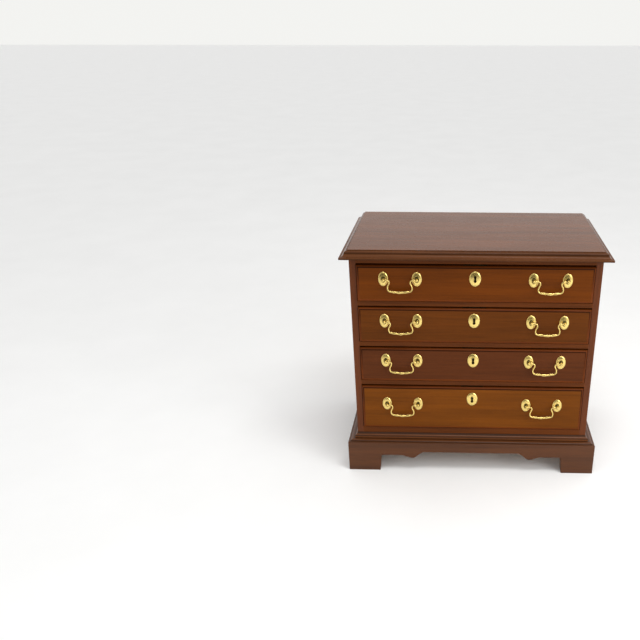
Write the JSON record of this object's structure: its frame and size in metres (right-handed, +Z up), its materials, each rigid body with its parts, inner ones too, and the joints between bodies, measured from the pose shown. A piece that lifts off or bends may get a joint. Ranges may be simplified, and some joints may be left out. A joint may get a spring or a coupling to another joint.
{
  "type": "small chest of drawers",
  "caption": "Small mahogany chest of full-width drawers with a moulded top, bracket base, brass swan-neck bail pulls and oval keyhole plates.",
  "frame": {"origin": "on the floor, under the middle of the chest's footprint", "axes": "+X to the right of a person facing the drawers, +Y from the front to the back, +Z up"},
  "size_m": [0.616, 0.373, 0.57],
  "materials": {
    "mahogany_top": "satin polish",
    "mahogany": "satin polish",
    "mahogany_base": "satin polish",
    "drawer_mahogany": "satin polish",
    "drawer_lining": "bare oak",
    "pine": "bare pine",
    "brass": "polished, lacquered",
    "lock_brass": "brushed"
  },
  "bodies": {
    "case": {"top_panel": "mahogany_top", "left_side_panel": "mahogany", "right_side_panel": "mahogany", "back_panel": "pine", "bottom_panel": "pine", "top_rails": "mahogany", "drawer_dividers": "mahogany", "bottom_rail": "mahogany", "drawer_runners": "pine", "drawer_stops": "pine", "base_mouldings": "mahogany_base", "front_plinth": "mahogany_base", "left_plinth": "mahogany_base", "right_plinth": "mahogany_base", "rear_brackets": "pine", "corner_blocks": "pine"},
    "drawer_1": {"drawer_1_front": "drawer_mahogany", "drawer_1_sides": "drawer_lining", "drawer_1_back": "drawer_lining", "drawer_1_bottom": "drawer_lining", "drawer_1_rosettes": "brass", "drawer_1_posts": "brass", "drawer_1_escutcheon": "brass", "drawer_1_lock": "lock_brass"},
    "drawer_1_bail_left": {"drawer_1_bail_left": "brass"},
    "drawer_1_bail_right": {"drawer_1_bail_right": "brass"},
    "drawer_1_bolt": {"drawer_1_lock_bolt": "lock_brass"},
    "drawer_2": {"drawer_2_front": "drawer_mahogany", "drawer_2_sides": "drawer_lining", "drawer_2_back": "drawer_lining", "drawer_2_bottom": "drawer_lining", "drawer_2_rosettes": "brass", "drawer_2_posts": "brass", "drawer_2_escutcheon": "brass", "drawer_2_lock": "lock_brass"},
    "drawer_2_bail_left": {"drawer_2_bail_left": "brass"},
    "drawer_2_bail_right": {"drawer_2_bail_right": "brass"},
    "drawer_2_bolt": {"drawer_2_lock_bolt": "lock_brass"},
    "drawer_3": {"drawer_3_front": "drawer_mahogany", "drawer_3_sides": "drawer_lining", "drawer_3_back": "drawer_lining", "drawer_3_bottom": "drawer_lining", "drawer_3_rosettes": "brass", "drawer_3_posts": "brass", "drawer_3_escutcheon": "brass", "drawer_3_lock": "lock_brass"},
    "drawer_3_bail_left": {"drawer_3_bail_left": "brass"},
    "drawer_3_bail_right": {"drawer_3_bail_right": "brass"},
    "drawer_3_bolt": {"drawer_3_lock_bolt": "lock_brass"},
    "drawer_4": {"drawer_4_front": "drawer_mahogany", "drawer_4_sides": "drawer_lining", "drawer_4_back": "drawer_lining", "drawer_4_bottom": "drawer_lining", "drawer_4_rosettes": "brass", "drawer_4_posts": "brass", "drawer_4_escutcheon": "brass", "drawer_4_lock": "lock_brass"},
    "drawer_4_bail_left": {"drawer_4_bail_left": "brass"},
    "drawer_4_bail_right": {"drawer_4_bail_right": "brass"},
    "drawer_4_bolt": {"drawer_4_lock_bolt": "lock_brass"}
  },
  "joints": [
    {"name": "drawer_1_slide", "type": "slide", "parent": "case", "child": "drawer_1", "axis": [0, -1, 0], "range_m": [0, 0.26]},
    {"name": "drawer_1_bail_left_swing", "type": "hinge", "parent": "drawer_1", "child": "drawer_1_bail_left", "pos_m": [-0.17, -0.1785, 0.5035], "axis": [-1, 0, 0], "range_deg": [-11, 190]},
    {"name": "drawer_1_bail_right_swing", "type": "hinge", "parent": "drawer_1", "child": "drawer_1_bail_right", "pos_m": [0.17, -0.1785, 0.5035], "axis": [-1, 0, 0], "range_deg": [-11, 190]},
    {"name": "drawer_1_bolt_throw", "type": "slide", "parent": "drawer_1", "child": "drawer_1_bolt", "axis": [0, 0, 1], "range_m": [0, 0.008]},
    {"name": "drawer_2_slide", "type": "slide", "parent": "case", "child": "drawer_2", "axis": [0, -1, 0], "range_m": [0, 0.26]},
    {"name": "drawer_2_bail_left_swing", "type": "hinge", "parent": "drawer_2", "child": "drawer_2_bail_left", "pos_m": [-0.17, -0.1785, 0.402], "axis": [-1, 0, 0], "range_deg": [-11, 190]},
    {"name": "drawer_2_bail_right_swing", "type": "hinge", "parent": "drawer_2", "child": "drawer_2_bail_right", "pos_m": [0.17, -0.1785, 0.402], "axis": [-1, 0, 0], "range_deg": [-11, 190]},
    {"name": "drawer_2_bolt_throw", "type": "slide", "parent": "drawer_2", "child": "drawer_2_bolt", "axis": [0, 0, 1], "range_m": [0, 0.008]},
    {"name": "drawer_3_slide", "type": "slide", "parent": "case", "child": "drawer_3", "axis": [0, -1, 0], "range_m": [0, 0.26]},
    {"name": "drawer_3_bail_left_swing", "type": "hinge", "parent": "drawer_3", "child": "drawer_3_bail_left", "pos_m": [-0.17, -0.1785, 0.3005], "axis": [-1, 0, 0], "range_deg": [-11, 190]},
    {"name": "drawer_3_bail_right_swing", "type": "hinge", "parent": "drawer_3", "child": "drawer_3_bail_right", "pos_m": [0.17, -0.1785, 0.3005], "axis": [-1, 0, 0], "range_deg": [-11, 190]},
    {"name": "drawer_3_bolt_throw", "type": "slide", "parent": "drawer_3", "child": "drawer_3_bolt", "axis": [0, 0, 1], "range_m": [0, 0.008]},
    {"name": "drawer_4_slide", "type": "slide", "parent": "case", "child": "drawer_4", "axis": [0, -1, 0], "range_m": [0, 0.26]},
    {"name": "drawer_4_bail_left_swing", "type": "hinge", "parent": "drawer_4", "child": "drawer_4_bail_left", "pos_m": [-0.17, -0.1785, 0.1835], "axis": [-1, 0, 0], "range_deg": [-11, 190]},
    {"name": "drawer_4_bail_right_swing", "type": "hinge", "parent": "drawer_4", "child": "drawer_4_bail_right", "pos_m": [0.17, -0.1785, 0.1835], "axis": [-1, 0, 0], "range_deg": [-11, 190]},
    {"name": "drawer_4_bolt_throw", "type": "slide", "parent": "drawer_4", "child": "drawer_4_bolt", "axis": [0, 0, 1], "range_m": [0, 0.008]}
  ]
}
